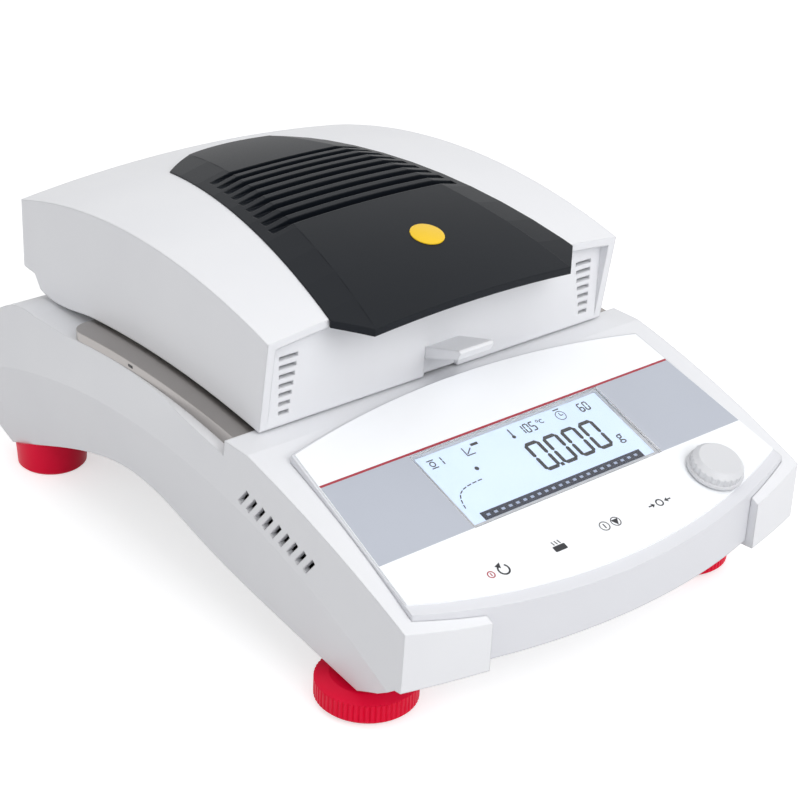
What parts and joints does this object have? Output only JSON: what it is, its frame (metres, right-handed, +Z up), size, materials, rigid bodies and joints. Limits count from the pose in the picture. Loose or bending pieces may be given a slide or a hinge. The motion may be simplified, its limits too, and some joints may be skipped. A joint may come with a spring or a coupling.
{
  "type": "moisture analyzer",
  "caption": "Bench moisture analyzer with a hinged white heating lid, black ribbed vent hood, sloped panel with display and knob, and red levelling feet.",
  "frame": {"origin": "on the bench, under the middle of the outline", "axes": "+X to the operator's right, +Y to the back, +Z up; the panel faces -Y"},
  "size_m": [0.222, 0.318, 0.1526],
  "materials": {
    "white_plastic": "fine satin texture",
    "panel_film": "satin printed film",
    "display_glass": "clear",
    "display": "backlit",
    "board": "solder mask",
    "level_glass": "clear",
    "level_cup": "dark",
    "knob_plastic": "satin",
    "steel": "satin",
    "aluminium": "machined",
    "hood_plastic": "semi-matt",
    "quartz": "clear",
    "lamp_glass": "frosted",
    "ceramic": "unglazed",
    "brass": "turned",
    "red_plastic": "satin",
    "rubber": "matt",
    "black_plastic": "satin"
  },
  "bodies": {
    "base": {"base_housing": "white_plastic", "bottom_cover": "white_plastic", "panel_insert": "white_plastic", "panel_overlay": "panel_film", "display_window": "display_glass", "display_module": "display", "key_board": "board", "level_vial": "level_cup", "level_window": "level_glass", "encoder_body": "black_plastic", "main_board": "board", "power_supply": "board", "mains_inlet": "black_plastic", "data_port": "black_plastic", "heat_shield_tray": "steel", "drip_tray": "steel", "draft_shield_ring": "steel", "weighing_cell": "aluminium", "cell_bracket": "aluminium", "hinge_pins": "steel", "hinge_bracket_left": "steel", "hinge_bracket_right": "steel", "foot_bush_left": "brass", "foot_bush_right": "brass", "rear_foot_left": "red_plastic", "rear_foot_right": "red_plastic"},
    "pan": {"pan_support": "steel", "sample_pan": "aluminium"},
    "lid": {"lid_cover": "white_plastic", "lid_handle": "white_plastic", "vent_hood": "hood_plastic", "heater_plate": "steel", "protective_glass": "quartz", "glass_retainer": "steel", "reflector": "steel", "halogen_lamp": "lamp_glass", "lamp_holders": "ceramic", "temperature_sensor": "steel", "hinge_arm_left": "steel", "hinge_arm_right": "steel"},
    "knob_stem": {"encoder_shaft": "steel"},
    "knob": {"control_knob": "knob_plastic"},
    "pad_left": {"foot_pad_left": "rubber"},
    "wheel_left": {"foot_wheel_left": "red_plastic"},
    "pad_right": {"foot_pad_right": "rubber"},
    "wheel_right": {"foot_wheel_right": "red_plastic"}
  },
  "joints": [
    {"name": "lid_hinge", "type": "hinge", "parent": "base", "child": "lid", "pos_m": [0, 0.142, 0.0885], "axis": [-1, 0, 0], "range_deg": [0, 75]},
    {"name": "pan_float", "type": "slide", "parent": "base", "child": "pan", "axis": [0, 0, 1], "range_m": [-0.0005, 0], "stiffness_N_per_m": 3000, "springref_m": 0.0003},
    {"name": "knob_push", "type": "slide", "parent": "base", "child": "knob_stem", "axis": [0, 0.3142, -0.9493], "range_m": [0, 0.0006], "stiffness_N_per_m": 2500, "springref_m": -0.0006},
    {"name": "knob_turn", "type": "hinge", "parent": "knob_stem", "child": "knob", "pos_m": [0.0658, -0.13489, 0.06511], "axis": [0, -0.3142, 0.9493], "continuous": true},
    {"name": "foot_slide_left", "type": "slide", "parent": "base", "child": "pad_left", "axis": [0, 0, -1], "range_m": [0, 0.006]},
    {"name": "foot_turn_left", "type": "hinge", "parent": "pad_left", "child": "wheel_left", "pos_m": [-0.09, -0.102, 0.01], "axis": [0, 0, -1], "range_deg": [0, 1728]},
    {"name": "foot_slide_right", "type": "slide", "parent": "base", "child": "pad_right", "axis": [0, 0, -1], "range_m": [0, 0.006]},
    {"name": "foot_turn_right", "type": "hinge", "parent": "pad_right", "child": "wheel_right", "pos_m": [0.09, -0.102, 0.01], "axis": [0, 0, -1], "range_deg": [0, 1728]}
  ],
  "couplings": [
    {"joint": "foot_turn_left", "follows": "foot_slide_left", "rad_per_m": 5026.5},
    {"joint": "foot_turn_right", "follows": "foot_slide_right", "rad_per_m": 5026.5}
  ]
}
